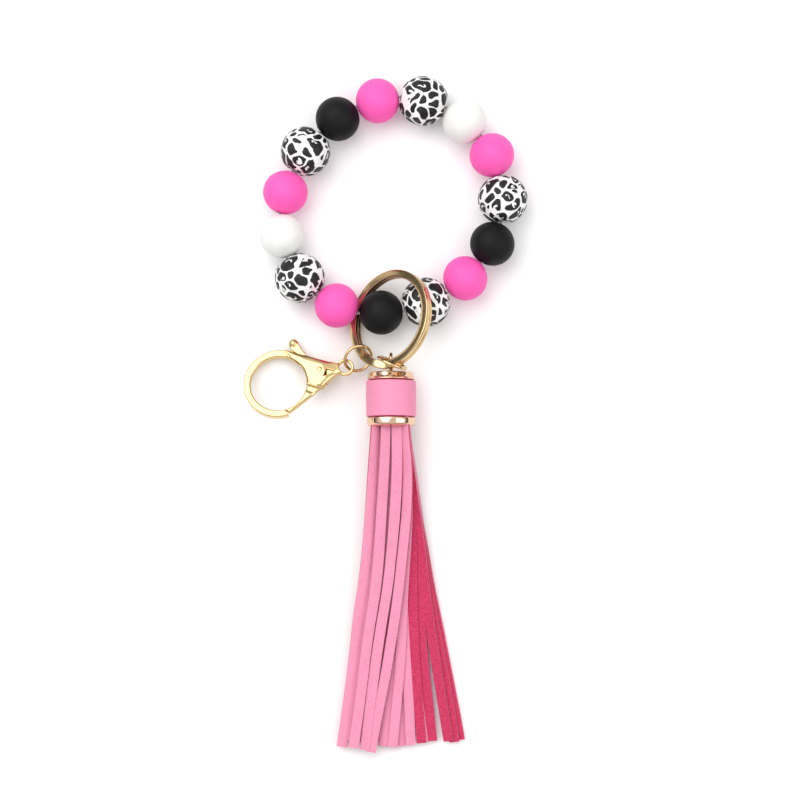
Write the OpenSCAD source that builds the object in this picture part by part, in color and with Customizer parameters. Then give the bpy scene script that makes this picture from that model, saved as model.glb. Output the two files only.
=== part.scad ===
// Wristlet keychain: a loop of round silicone beads on elastic, a split key ring,
// a lobster clasp on a jump ring, and a leather tassel under a gold cap.
// Millimetres. The set lies flat: +X to the right, +Y along the bracelet away
// from the tassel, +Z up from the table at z = 0.

/* [Bracelet] */
// Diameter of a plain silicone bead
bead_d = 15; // [12:0.5:20]
// Diameter of a patterned silicone bead across its widest part
leopard_d = 16.6; // [15:0.1:20]
// Bore through every bead
bead_bore_d = 2.4; // [1.6:0.1:4]
// Thickness of the elastic
cord_d = 1.0; // [0.6:0.1:1.6]
// Mean radius of the bead loop
loop_r = 37.3; // [37.2:0.01:37.5]
// How far the loop is pulled into an oval
loop_oval = 2.1; // [0:0.1:3]

/* [Key ring] */
// Outside diameter of the split ring
ring_d = 34.5; // [30:0.5:36]
// Radial width of its flat wire
ring_w = 2.65; // [2:0.05:3]
// Thickness of one of its two coils
coil_t = 1.36; // [1:0.02:1.5]
// How steeply the ring leans
ring_tilt = 42; // [40:1:46]

/* [Clasp] */
// Outside radius of the clasp hook
hook_r = 11.4; // [11:0.1:12]
// Width of the hook's band
hook_band = 2.1; // [1.8:0.1:2.2]
// Thickness of the hook
hook_t = 3.0; // [2.4:0.1:3.4]
// Jump ring wire
jump_wire = 1.1; // [0.8:0.1:1.3]

/* [Tassel] */
// Diameter of the leather wrap on the cap
cap_d = 17; // [15:0.2:18]
// Length of the leather strips below the cap
fringe_l = 110; // [90:1:120]
// Thickness of the fringe where it leaves the cap
fringe_t = 9; // [7:0.5:10]

/* [Hidden] */
$fn = 64;
sh = [4.73, 4.54, 0];                // puts the set's bounding box on the origin
pink = [0.96, 0.38, 0.68];
black = [0.12, 0.12, 0.13];
white = [0.94, 0.94, 0.92];
spot = [0.80, 0.80, 0.79];
gold = [0.80, 0.68, 0.46];
leather = [0.96, 0.66, 0.77];

// ---- small vector helpers ----
function unit(v) = v / norm(v);
function ang(p, q) = atan2(q[1] - p[1], q[0] - p[0]);
module place(o, x, y, z)
  multmatrix([[x[0], y[0], z[0], o[0]], [x[1], y[1], z[1], o[1]], [x[2], y[2], z[2], o[2]], [0, 0, 0, 1]]) children();
// lays a Z-directed child along the segment a-b, starting at a
module along(a, b) {
  d = unit(b - a);
  translate(a) rotate([0, acos(d[2]), atan2(d[1], d[0])]) children();
}

// ---- bead loop ----
// P plain pink, L patterned, W white, K black, clockwise from the top
kinds = "PLWPLKPLKPLWPLK";
n_beads = len(kinds);
loop_c = [-2.9, 66.1];
function pair_gap(i) = (i == 8) ? 15.45 : (kinds[i % n_beads] == "L" || kinds[(i + 1) % n_beads] == "L") ? 15.76 : 15.1;
function loop_rad(t) = loop_r + loop_oval * cos(2 * (t - 38.5)) + 0.6 * cos(3 * (t + 20));
function loop_pt(t) = [loop_c[0] + loop_rad(t) * cos(t), loop_c[1] + loop_rad(t) * sin(t)];
// angle of the next bead, by bisection on the centre distance
function step_t(t, g, lo, hi, n) = n == 0 ? (lo + hi) / 2 :
  let (m = (lo + hi) / 2) norm(loop_pt(t - m) - loop_pt(t)) < g ? step_t(t, g, m, hi, n - 1) : step_t(t, g, lo, m, n - 1);
function chain(i, t) = i == n_beads ? [] : concat([t], chain(i + 1, t - step_t(t, pair_gap(i), 8, 44, 40)));
bead_t = chain(0, 97.5);
bz = leopard_d / 2;
C = [for (t = bead_t) [loop_pt(t)[0], loop_pt(t)[1], bz]];
function cc(i) = C[(i + n_beads) % n_beads];
// direction of each bore: halfway between its two neighbours' directions
D = [for (i = [0:n_beads - 1]) unit(unit(cc(i) - cc(i - 1)) + unit(cc(i + 1) - cc(i)))];
function dd(i) = D[(i + n_beads) % n_beads];
// where the elastic bends, between bead i and bead i + 1
function meet(p, u, q, v) = let (w = q - p, k = u[0] * v[1] - u[1] * v[0]) p + u * ((w[0] * v[1] - w[1] * v[0]) / k);
V = [for (i = [0:n_beads - 1]) meet(cc(i), dd(i), cc(i + 1), dd(i + 1))];
function vv(i) = V[(i + n_beads) % n_beads];

module bead_frame(i) translate(cc(i)) rotate([0, 90, atan2(dd(i)[1], dd(i)[0])]) children();

module plain_bead(i)
  bead_frame(i) rotate_extrude($fn = 96) difference() {
    circle(d = bead_d);
    translate([-bead_d, -bead_d]) square([bead_d + bead_bore_d / 2, 2 * bead_d]);
  }

module leopard_bead(i)
  bead_frame(i) rotate_extrude($fn = 96) intersection() {
    circle(d = leopard_d);
    translate([bead_bore_d / 2, -bead_d / 2]) square([leopard_d, bead_d]);
  }

module bead_pink_1() color(pink) translate(sh) plain_bead(0);
module bead_pink_2() color(pink) translate(sh) plain_bead(3);
module bead_pink_3() color(pink) translate(sh) plain_bead(6);
module bead_pink_4() color(pink) translate(sh) plain_bead(9);
module bead_pink_5() color(pink) translate(sh) plain_bead(12);
module bead_leopard_1() color(spot) translate(sh) leopard_bead(1);
module bead_leopard_2() color(spot) translate(sh) leopard_bead(4);
module bead_leopard_3() color(spot) translate(sh) leopard_bead(7);
module bead_leopard_4() color(spot) translate(sh) leopard_bead(10);
module bead_leopard_5() color(spot) translate(sh) leopard_bead(13);
module bead_white_1() color(white) translate(sh) plain_bead(2);
module bead_white_2() color(white) translate(sh) plain_bead(11);
module bead_black_1() color(black) translate(sh) plain_bead(5);
module bead_black_2() color(black) translate(sh) plain_bead(8);
module bead_black_3() color(black) translate(sh) plain_bead(14);

// elastic: one straight run through each bead, bending where two beads meet,
// and thickened by the tied knot inside one patterned bead
el_n = 16;
function run(i) = unit(vv(i) - vv(i - 1));
function mid(i) = (vv(i) + vv(i - 1)) / 2;
// stations along the elastic: [place, direction, radius]
el_st = [for (i = [0:n_beads - 1]) let (r = cord_d / 2, d = run(i)) each concat(
  [[vv(i - 1) + 0.5 * d, d, r]],
  i == 13 ? [for (k = [[-1.1, r], [-0.8, 0.8], [-0.3, 1], [0.3, 1], [0.8, 0.8], [1.1, r]]) [mid(i) + k[0] * d, d, k[1]]] : [],
  [[vv(i) - 0.5 * d, d, r]])];
el_m = len(el_st);
el_pts = [for (s = el_st, j = [0:el_n - 1]) let (a = 360 * j / el_n, n = cross(s[1], [0, 0, 1]))
  s[0] + s[2] * (cos(a) * n + sin(a) * [0, 0, 1])];
el_faces = [for (k = [0:el_m - 1], j = [0:el_n - 1])
  let (k2 = (k + 1) % el_m, j2 = (j + 1) % el_n, p = el_n * k + j, q = el_n * k + j2, u = el_n * k2 + j, v = el_n * k2 + j2)
  each [[p, q, v], [p, v, u]]];
module elastic_cord()
  color([0.88, 0.86, 0.84]) translate(sh) polyhedron(points = el_pts, faces = el_faces, convexity = 8);

// ---- key ring: flat wire wound twice, lying across the bracelet ----
lean = 15;
ring_c = [-3.2, 26.7, 12.6];
rn = [-sin(ring_tilt) * cos(lean), sin(ring_tilt) * sin(lean), cos(ring_tilt)];
ru = [cos(lean) * cos(ring_tilt), -sin(lean) * cos(ring_tilt), sin(ring_tilt)];
rv = cross(rn, ru);
ring_ri = ring_d / 2 - ring_w;
ring_rm = ring_d / 2 - ring_w / 2;
split_a = 286;                       // end of the upper coil
split_w = 24;                        // arc over which the wire steps down
coil_gap = 0.08;
module coil_profile(z0) {
  c = 0.22;
  polygon([[ring_ri + c, z0], [ring_d / 2 - c, z0], [ring_d / 2, z0 + c], [ring_d / 2, z0 + coil_t - c],
    [ring_d / 2 - c, z0 + coil_t], [ring_ri + c, z0 + coil_t], [ring_ri, z0 + coil_t - c], [ring_ri, z0 + c]]);
}
// the wire's step from the upper coil down to the lower one
steps = 12;
step_a0 = split_a - split_w - 1.2;
step_a1 = split_a + 1.2;
step_ri = ring_ri + 0.06;
step_ro = ring_d / 2 - 0.06;
function step_z(s) = coil_gap / 2 + 0.06 - (coil_t + coil_gap) * s * s * (3 - 2 * s);
step_pts = [for (k = [0:steps]) let (a = step_a0 + (step_a1 - step_a0) * k / steps, z = step_z(k / steps))
  each [[step_ri * cos(a), step_ri * sin(a), z], [step_ro * cos(a), step_ro * sin(a), z],
        [step_ro * cos(a), step_ro * sin(a), z + coil_t - 0.12], [step_ri * cos(a), step_ri * sin(a), z + coil_t - 0.12]]];
step_sides = [for (k = [0:steps - 1], j = [0:3]) let (p = 4 * k + j, q = 4 * k + (j + 1) % 4)
  each [[p, q + 4, p + 4], [p, q, q + 4]]];
module key_ring()
  color(gold) translate(sh) place(ring_c, ru, rv, rn) {
    rotate([0, 0, split_a]) rotate_extrude(angle = 360 - split_w, $fn = 180) coil_profile(coil_gap / 2);
    rotate([0, 0, split_a]) rotate_extrude(angle = 360 - split_w, $fn = 180) coil_profile(-coil_gap / 2 - coil_t);
    polyhedron(points = step_pts, faces = concat([[3, 2, 1, 0]], step_sides, [[4 * steps, 4 * steps + 1, 4 * steps + 2, 4 * steps + 3]]), convexity = 6);
  }

// ---- wire rings, each with the cut it is opened by ----
module wire_ring(rm, wire, cut)
  difference() {
    rotate_extrude($fn = 72) translate([rm, 0]) circle(d = wire, $fn = 24);
    rotate([0, 0, cut]) translate([rm, 0, 0]) cube([2 * wire, 0.12, 2 * wire], center = true);
  }

jump_rm = 4.8;
jump_c = [-14.35, 13.9, 6.15];
jn = unit([0.341, -0.512, 0.788]);
jx = unit(cross([0, 1, 0], jn));
jy = cross(jn, jx);
module clasp_ring() color(gold) translate(sh) place(jump_c, jx, jy, jn) wire_ring(jump_rm, jump_wire, 150);

// ---- lobster clasp: u from the hook's centre to the eye, w up through it ----
hook_c = [-41.5, 4.95, 5.5];
ca = 14.2;                            // direction of the eye from the hook
roll = 16;                            // lower edge raised
pitch = 1.7;                            // eye end raised
c1 = [cos(ca) * cos(pitch), sin(ca) * cos(pitch), sin(pitch)];
c3a = unit(cross(c1, [-sin(ca), cos(ca), 0]));
c2a = cross(c3a, c1);
c2 = c2a * cos(roll) - c3a * sin(roll);
c3 = c2a * sin(roll) + c3a * cos(roll);
module clasp_frame() translate(sh) place(hook_c, c1, c2, c3) children();
hook_ri = hook_r - hook_band;
eye_u = 23.5;
pivot = [14.9, 0.9];
gate_r = 1.9;                         // round knuckle of the gate
slot_t = 2.0;                         // width of the slot the gate works in
gate_t = 1.84;
module hook_arc(a0, a1, t, ri, ro)
  rotate([0, 0, a0]) rotate_extrude(angle = a1 - a0, $fn = 120)
    translate([ri, -t / 2]) square([ro - ri, t]);

// outline of the body between the hook and the eye
module body_outline()
  difference() {
    polygon([[9.2, 8.5], [12.5, 6.9], [17, 3.8], [21.2, 1.7], [21.6, -1.6], [19.6, -2.1],
      [17.2, -3.4], [14.6, -5.2], [12.3, -5.2], [9.6, -3.4], [8, -3], [7.5, 5]]);
    circle(r = hook_ri, $fn = 120);
  }

module clasp_body()
  color(gold) clasp_frame() difference() {
    union() {
      hook_arc(36, 268, hook_t, hook_ri, hook_r);
      // cheeks with bevelled backs
      translate([0, 0, -1.5]) linear_extrude(3) body_outline();
      intersection() {
        translate([0, 0, -2.3]) linear_extrude(4.6) offset(delta = -0.7) body_outline();
        translate([15, 0.6, 0]) scale([1, 0.8, 0.42]) sphere(r = 7.4, $fn = 48);
      }
      translate([eye_u, 0, -0.9]) cylinder(r = 3.0, h = 1.8, $fn = 64);
      translate([20.2, -1.5, -0.9]) cube([1.8, 3, 1.8]);
    }
    // eye
    translate([eye_u, 0, -3]) cylinder(r = 2.1, h = 6, $fn = 64);
    // slot for the gate and its spring
    translate([0, 0, -slot_t / 2]) linear_extrude(slot_t) difference() {
      union() {
        translate(pivot) circle(r = gate_r + 0.25, $fn = 64);
        polygon([[6, 10.4], [7.5, 14], [14, 14], [16.6, 6.6], [17.2, 1.5], [15.6, -6.5], [12, -8], [8, -6], [9, 0], [11.6, 3.6]]);
      }
    }
    // pivot hole
    translate([pivot[0], pivot[1], -4]) cylinder(r = 0.62, h = 8, $fn = 48);
  }

// gate with its thumb lever
module gate_outline()
  difference() {
    union() {
      translate(pivot) circle(r = gate_r, $fn = 64);
      // arm closing the hook
      polygon([[13.6, 2.2], [16.5, 0.0], [15.9, -4.3], [1.2, -11.1], [0.2, -9.4], [10.0, -3.2]]);
      // lever out of the back
      polygon([[13.3, 1.8], [16.5, 2.0], [13.4, 6.4], [11.9, 7.2], [10.5, 10.2], [9.7, 13.3], [6.6, 12.9], [7.0, 10.6], [8.6, 8.8], [11.2, 5.4]]);
    }
    circle(r = hook_ri, $fn = 120);
  }
module clasp_gate()
  color(gold) clasp_frame() difference() {
    union() {
      translate([0, 0, -gate_t / 2]) linear_extrude(gate_t) gate_outline();
      translate([8.15, 13.2, 0]) sphere(d = 3.4, $fn = 40);
    }
    translate([pivot[0], pivot[1], -3]) cylinder(r = 0.66, h = 6, $fn = 48);
  }
module clasp_pin()
  color(gold) clasp_frame() translate([pivot[0], pivot[1], 0]) {
    translate([0, 0, -2.5]) cylinder(r = 0.6, h = 5, $fn = 48);
    for (s = [-1, 1]) translate([0, 0, s * 2.5 - 0.15]) cylinder(r = 1.0, h = 0.3, $fn = 48);
  }

// ---- tassel ring ----
tr_c = [-2.7, 11.6, 15.45];
tr_rm = 4.9;
tr_wire = 1.2;
tn = unit([0.375, 0.905, 0.2]);
tx = unit(cross([0, 0, 1], tn));
ty = cross(tn, tx);
module tassel_ring() color(gold) translate(sh) place(tr_c, tx, ty, tn) wire_ring(tr_rm, tr_wire, 20);

// ---- tassel cap: axis towards -Y ----
cap_x = -3.05;
cap_z = 8.7;
cap_y = 8.9;                          // top of the cap
module cap_frame() translate(sh) translate([cap_x, cap_y, cap_z]) rotate([90, 0, 0]) children();

module cap_eye()
  color(gold) {
    cap_frame() {
      translate([0, 0, -1.75]) cylinder(d = 1.6, h = 4.85, $fn = 32);
      translate([0, 0, 2.6]) cylinder(d = 4, h = 1, $fn = 40);
    }
    translate(sh) translate([cap_x, eye_y, eye_z]) rotate([0, 90, 0])
      rotate_extrude($fn = 64) translate([eye_rm, 0]) circle(d = eye_wire, $fn = 24);
  }
eye_rm = 2.4;
eye_wire = 1.2;
eye_y = 12.6;
eye_z = 9.9;

// gold tube closed at the top, with a collar at each end
module cap_cup()
  color(gold) cap_frame() difference() {
    rotate_extrude($fn = 96) polygon([[0.84, 0], [7.6, 0], [7.9, 0.4], [8.15, 2.7], [7.0, 2.7], [7.0, 15.6],
      [8.2, 15.6], [8.3, 17.4], [8.0, 18.4], [7.2, 18.8], [6.3, 18.8], [6.3, 2.2], [0.84, 2.2]]);
  }
// leather wrapped round the tube
module cap_band()
  color(leather) cap_frame() difference() {
    rotate_extrude($fn = 96) polygon([[7.02, 2.8], [8.3, 2.8], [8.5, 3.0], [8.5, 15.3], [8.3, 15.5], [7.02, 15.5]]);
    translate([0, -7.5, 2]) rotate([0, 0, 0]) cube([0.15, 4, 30], center = true);
  }
// rolled strip head glued in the tube
module fringe_header()
  color(leather) cap_frame() translate([0, 0, 4]) cylinder(r = 6.25, h = 14.9, $fn = 64);

// ---- leather fringe, three bundles that swing apart ----
// x runs across, y down the strips from the cap, z up from the axis
module bundle(x0, x1, X0, X1, l0, l1)
  color(leather) translate(sh) translate([cap_x, cap_y - 18.9, 0])
    difference() {
      translate([0, 0, 0.3]) linear_extrude(fringe_t + 3) polygon([[x0, -1.6], [x1, -1.6],
        [X1, -l1], [X0, -l0]]);
      // top surface falls from the cap to the flat ends
      translate([0, 0, 0]) rotate([90, 0, 90]) translate([0, 0, -60]) linear_extrude(120)
        polygon([[2, 13.4], [-1.6, 13.4], [-24, 9.2], [-l1 + 40, 5.4], [-l1 - 10, 4.4], [-l1 - 10, 20], [2, 20]]);
      // underside rises from the table to the cap mouth
      translate([0, 0, 0]) rotate([90, 0, 90]) translate([0, 0, -60]) linear_extrude(120)
        polygon([[2, 3.2], [-1.6, 3.2], [-14, 0.4], [-14, -2], [2, -2]]);
    }
module fringe_left() bundle(-6.2, -2.4, -19.6, -3.4, fringe_l, fringe_l);
module fringe_middle() bundle(-2.0, 2.0, -3.0, 11.4, fringe_l, fringe_l - 1);
module fringe_right() bundle(2.4, 6.2, 11.8, 24.8, fringe_l - 1, fringe_l - 2);

elastic_cord();
bead_pink_1();
bead_pink_2();
bead_pink_3();
bead_pink_4();
bead_pink_5();
bead_leopard_1();
bead_leopard_2();
bead_leopard_3();
bead_leopard_4();
bead_leopard_5();
bead_white_1();
bead_white_2();
bead_black_1();
bead_black_2();
bead_black_3();
key_ring();
clasp_ring();
clasp_body();
clasp_gate();
clasp_pin();
tassel_ring();
cap_eye();
cap_cup();
cap_band();
fringe_header();
fringe_left();
fringe_middle();
fringe_right();
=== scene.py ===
import math
import bpy
import numpy as np
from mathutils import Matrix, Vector


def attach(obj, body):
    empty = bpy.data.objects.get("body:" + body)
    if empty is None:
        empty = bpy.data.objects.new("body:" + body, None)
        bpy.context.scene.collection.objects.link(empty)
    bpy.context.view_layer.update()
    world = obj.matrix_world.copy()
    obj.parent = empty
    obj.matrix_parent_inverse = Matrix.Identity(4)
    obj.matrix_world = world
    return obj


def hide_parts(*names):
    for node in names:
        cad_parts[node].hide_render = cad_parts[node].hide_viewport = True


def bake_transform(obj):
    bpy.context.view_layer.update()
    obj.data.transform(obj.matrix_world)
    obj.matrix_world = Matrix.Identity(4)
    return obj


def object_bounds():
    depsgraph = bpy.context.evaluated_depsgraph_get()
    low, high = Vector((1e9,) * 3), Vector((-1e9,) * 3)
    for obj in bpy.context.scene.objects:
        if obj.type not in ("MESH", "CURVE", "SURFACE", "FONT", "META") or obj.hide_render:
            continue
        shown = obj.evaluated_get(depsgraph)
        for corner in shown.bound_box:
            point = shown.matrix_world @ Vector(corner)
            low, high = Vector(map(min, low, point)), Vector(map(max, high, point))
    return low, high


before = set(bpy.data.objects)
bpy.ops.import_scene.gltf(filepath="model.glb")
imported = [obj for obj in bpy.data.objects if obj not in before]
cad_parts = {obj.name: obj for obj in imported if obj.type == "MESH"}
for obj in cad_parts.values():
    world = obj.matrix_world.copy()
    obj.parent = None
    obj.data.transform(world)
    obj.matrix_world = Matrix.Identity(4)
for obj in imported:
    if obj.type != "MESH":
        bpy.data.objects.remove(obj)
lo_cad, hi_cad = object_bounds()
lo_cad, hi_cad = [float(v) for v in lo_cad], [float(v) for v in hi_cad]

MM = 0.001
SH = np.array([4.73, 4.54, 0.0])
PX = 2.92


def unit(v):
    v = np.asarray(v, float)
    return v / np.linalg.norm(v)


def lin(r, g, b):
    out = []
    for c in (r, g, b):
        c = c / 255.0
        out.append(c / 12.92 if c <= 0.04045 else ((c + 0.055) / 1.055) ** 2.4)
    return (out[0], out[1], out[2], 1.0)


# ---------------------------------------------------------------- geometry of the set, in mm
KINDS = "PLWPLKPLKPLWPLK"
NB = 15
LOOP_C = np.array([-2.9, 66.1])


def gap(i):
    if i == 8:
        return 15.45
    return 15.76 if "L" in (KINDS[i % NB], KINDS[(i + 1) % NB]) else 15.1


def loop_pt(t):
    r = 37.3 + 2.1 * math.cos(math.radians(2 * (t - 38.5))) + 0.6 * math.cos(math.radians(3 * (t + 20)))
    return LOOP_C + r * np.array([math.cos(math.radians(t)), math.sin(math.radians(t))])


ts = [97.5]
for i in range(NB - 1):
    a, b = 8.0, 44.0
    for _ in range(40):
        m = (a + b) / 2
        if np.linalg.norm(loop_pt(ts[-1] - m) - loop_pt(ts[-1])) < gap(i):
            a = m
        else:
            b = m
    ts.append(ts[-1] - (a + b) / 2)
C = [np.array([*loop_pt(t), 8.3]) for t in ts]
D = [unit(unit(C[i] - C[i - 1]) + unit(C[(i + 1) % NB] - C[i])) for i in range(NB)]

TILT, LEAN = math.radians(42), math.radians(15)
RING_C = np.array([-3.2, 26.7, 12.6])
RN = np.array([-math.sin(TILT) * math.cos(LEAN), math.sin(TILT) * math.sin(LEAN), math.cos(TILT)])
RU = np.array([math.cos(LEAN) * math.cos(TILT), -math.sin(LEAN) * math.cos(TILT), math.sin(TILT)])
RV = np.cross(RN, RU)

JUMP_C, JN = np.array([-14.35, 13.9, 6.15]), unit([0.341, -0.512, 0.788])
TR_C, TN = np.array([-2.7, 11.6, 15.45]), unit([0.375, 0.905, 0.2])

HOOK = np.array([-41.5, 4.95, 5.5])
_ca, _ro, _pi = math.radians(14.2), math.radians(16), math.radians(1.7)
C1 = np.array([math.cos(_ca) * math.cos(_pi), math.sin(_ca) * math.cos(_pi), math.sin(_pi)])
_c3 = unit(np.cross(C1, [-math.sin(_ca), math.cos(_ca), 0]))
_c2 = np.cross(_c3, C1)
C2 = _c2 * math.cos(_ro) - _c3 * math.sin(_ro)
C3 = _c2 * math.sin(_ro) + _c3 * math.cos(_ro)
PIV = np.array([14.9, 0.9])
CAP = np.array([-3.05, 8.9, 8.7])


# ---------------------------------------------------------------- mesh helpers
def mesh_obj(name, verts_mm, faces, mats, face_mats=None, smooth=True, sharp=None):
    me = bpy.data.meshes.new(name)
    me.from_pydata([tuple(v) for v in np.asarray(verts_mm, float) * MM], [], [tuple(int(k) for k in f) for f in faces])
    me.validate()
    me.update()
    ob = bpy.data.objects.new(name, me)
    bpy.context.scene.collection.objects.link(ob)
    for m in mats:
        me.materials.append(m)
    if face_mats is not None:
        me.polygons.foreach_set("material_index", np.asarray(face_mats, np.int32))
    me.polygons.foreach_set("use_smooth", np.full(len(me.polygons), smooth))
    if sharp is not None:
        me.set_sharp_from_angle(angle=math.radians(sharp))
    return ob


def frame_from(d):
    d = unit(d)
    ref = np.array([0, 0, 1.0]) if abs(d[2]) < 0.9 else np.array([0, 1.0, 0])
    x = unit(np.cross(ref, d))
    return x, np.cross(d, x), d


def lathe(name, profile, origin, axis, mats, seg=96, closed=True, face_mat=None, sharp=40, fn=None, xref=None):
    """profile: list of (radius, along) in mm, going round a closed section."""
    x, y, z = frame_from(axis)
    if xref is not None:
        x = unit(np.asarray(xref, float) - np.dot(xref, z) * z)
        y = np.cross(z, x)
    P = np.asarray(profile, float)
    n = len(P)
    V, F, FM = [], [], []
    for k in range(seg):
        a = 2 * math.pi * k / seg
        for j in range(n):
            r, h = P[j]
            if fn is not None:
                r, h = fn(r, h, a, j)
            V.append(origin + r * (math.cos(a) * x + math.sin(a) * y) + h * z)
    last = n if closed else n - 1
    for k in range(seg):
        k2 = (k + 1) % seg
        for j in range(last):
            j2 = (j + 1) % n
            F.append((k * n + j, k2 * n + j, k2 * n + j2, k * n + j2))
            FM.append(face_mat[j] if face_mat else 0)
    return mesh_obj(name, V, F, mats, FM, sharp=sharp)


def sweep(name, path, normals, binormals, section, mats, closed=False, scales=None, face_mat=None, sharp=40, caps=True):
    """section: closed polygon of (a, b): a along normals, b along binormals. scales: per station (sa, sb)."""
    path, normals, binormals = np.asarray(path), np.asarray(normals), np.asarray(binormals)
    S = np.asarray(section, float)
    n, m = len(S), len(path)
    V = []
    for k in range(m):
        sa, sb = scales[k] if scales is not None else (1, 1)
        V.append(path[k] + np.outer(S[:, 0] * sa, normals[k]) + np.outer(S[:, 1] * sb, binormals[k]))
    V = np.concatenate(V)
    F, FM = [], []
    for k in range(m if closed else m - 1):
        k2 = (k + 1) % m
        for j in range(n):
            j2 = (j + 1) % n
            F.append((k * n + j, k * n + j2, k2 * n + j2, k2 * n + j))
            FM.append(face_mat[j] if face_mat else 0)
    if not closed and caps:
        F.append(tuple(range(n))[::-1])
        FM.append(0)
        F.append(tuple((m - 1) * n + j for j in range(n)))
        FM.append(0)
    return mesh_obj(name, V, F, mats, FM, sharp=sharp)


def round_rect(w, h, r, k=4):
    pts = []
    for cx, cy, a0 in ((w / 2 - r, h / 2 - r, 0), (-w / 2 + r, h / 2 - r, 90), (-w / 2 + r, -h / 2 + r, 180), (w / 2 - r, -h / 2 + r, 270)):
        for i in range(k + 1):
            a = math.radians(a0 + 90 * i / k)
            pts.append((cx + r * math.cos(a), cy + r * math.sin(a)))
    return pts


def surface_nets(f, lo, hi, step):
    """Vertices and quads of f = 0 on a grid over the box lo..hi."""
    lo, hi = np.asarray(lo, float), np.asarray(hi, float)
    n = np.ceil((hi - lo) / step).astype(int) + 1
    ax = [lo[i] + step * np.arange(n[i]) for i in range(3)]
    X, Y, Z = np.meshgrid(*ax, indexing="ij")
    v = f(X, Y, Z).astype(np.float32)
    ins = v < 0
    c = (n - 1)
    acc = np.zeros((c[0], c[1], c[2], 3), np.float32)
    cnt = np.zeros((c[0], c[1], c[2]), np.float32)
    quads = []
    for d in range(3):
        sl0 = [slice(None)] * 3
        sl1 = [slice(None)] * 3
        sl0[d] = slice(0, -1)
        sl1[d] = slice(1, None)
        a, b = v[tuple(sl0)], v[tuple(sl1)]
        cr = (a < 0) != (b < 0)
        I = np.argwhere(cr)
        if not len(I):
            continue
        t = a[cr] / (a[cr] - b[cr])
        P = I.astype(np.float32)
        P[:, d] += t
        e1, e2 = [k for k in range(3) if k != d]
        cells = []
        ok_all = np.ones(len(I), bool)
        for o1, o2 in ((0, 0), (-1, 0), (-1, -1), (0, -1)):
            J = I.copy()
            J[:, e1] += o1
            J[:, e2] += o2
            ok = ((J >= 0) & (J < c)).all(1)
            ok_all &= ok
            Jk = J[ok]
            np.add.at(acc, (Jk[:, 0], Jk[:, 1], Jk[:, 2]), P[ok])
            np.add.at(cnt, (Jk[:, 0], Jk[:, 1], Jk[:, 2]), 1)
            cells.append(J)
        Q = np.stack(cells, 1)[ok_all]
        flip = (a[cr] < 0)[ok_all]
        if d == 1:
            flip = ~flip
        Q[~flip] = Q[~flip][:, ::-1]
        quads.append(Q)
    idx = -np.ones((c[0], c[1], c[2]), np.int64)
    used = cnt > 0
    idx[used] = np.arange(used.sum())
    V = acc[used] / cnt[used][:, None] * step + lo
    Q = np.concatenate(quads)
    F = idx[Q[..., 0], Q[..., 1], Q[..., 2]]
    return V, F


def poly_sd(px, py, poly):
    """Signed distance to a polygon, negative inside."""
    poly = np.asarray(poly, float)
    d = np.full(px.shape, 1e9)
    inside = np.zeros(px.shape, bool)
    for i in range(len(poly)):
        a, b = poly[i - 1], poly[i]
        e = b - a
        wx, wy = px - a[0], py - a[1]
        t = np.clip((wx * e[0] + wy * e[1]) / (e @ e), 0, 1)
        d = np.minimum(d, (wx - e[0] * t) ** 2 + (wy - e[1] * t) ** 2)
        c = ((a[1] > py) != (b[1] > py)) & (px < (b[0] - a[0]) * (py - a[1]) / (b[1] - a[1] + 1e-12) + a[0])
        inside ^= c
    d = np.sqrt(d)
    return np.where(inside, -d, d)


def smin(a, b, k):
    h = np.clip(0.5 + 0.5 * (b - a) / k, 0, 1)
    return b + (a - b) * h - k * h * (1 - h)


def extr(d2, z, h, r):
    """Rounded extrusion of a 2-D distance."""
    a, b = d2 + r, np.abs(z) - h + r
    return np.minimum(np.maximum(a, b), 0) + np.hypot(np.maximum(a, 0), np.maximum(b, 0)) - r


# ---------------------------------------------------------------- materials
def new_mat(name):
    m = bpy.data.materials.new(name)
    m.use_nodes = True
    nt = m.node_tree
    bs = nt.nodes["Principled BSDF"]
    return m, nt, bs


def noise(nt, scale, detail=3.0, rough=0.55, distortion=0.0, coord="Object"):
    tc = nt.nodes.new("ShaderNodeTexCoord")
    n = nt.nodes.new("ShaderNodeTexNoise")
    n.inputs["Scale"].default_value = scale
    n.inputs["Detail"].default_value = detail
    n.inputs["Roughness"].default_value = rough
    n.inputs["Distortion"].default_value = distortion
    nt.links.new(tc.outputs[coord], n.inputs["Vector"])
    return n


def ramp(nt, src, stops):
    r = nt.nodes.new("ShaderNodeValToRGB")
    e = r.color_ramp.elements
    while len(e) < len(stops):
        e.new(0.5)
    for k, (p, c) in enumerate(stops):
        e[k].position = p
        e[k].color = c
    nt.links.new(src, r.inputs["Fac"])
    return r


def bump(nt, bs, height, strength, dist, prev=None):
    b = nt.nodes.new("ShaderNodeBump")
    b.inputs["Strength"].default_value = strength
    b.inputs["Distance"].default_value = dist
    nt.links.new(height, b.inputs["Height"])
    if prev is not None:
        nt.links.new(prev.outputs["Normal"], b.inputs["Normal"])
    nt.links.new(b.outputs["Normal"], bs.inputs["Normal"])
    return b


def rough_noise(nt, bs, lo, hi, scale):
    n = noise(nt, scale, 4.0)
    r = nt.nodes.new("ShaderNodeMapRange")
    r.inputs["To Min"].default_value = lo
    r.inputs["To Max"].default_value = hi
    nt.links.new(n.outputs["Fac"], r.inputs["Value"])
    nt.links.new(r.outputs["Result"], bs.inputs["Roughness"])


def g(v):
    return (v, v, v, 1.0)


def mul(c, k):
    return (min(1, c[0] * k), min(1, c[1] * k), min(1, c[2] * k), 1.0)


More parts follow.
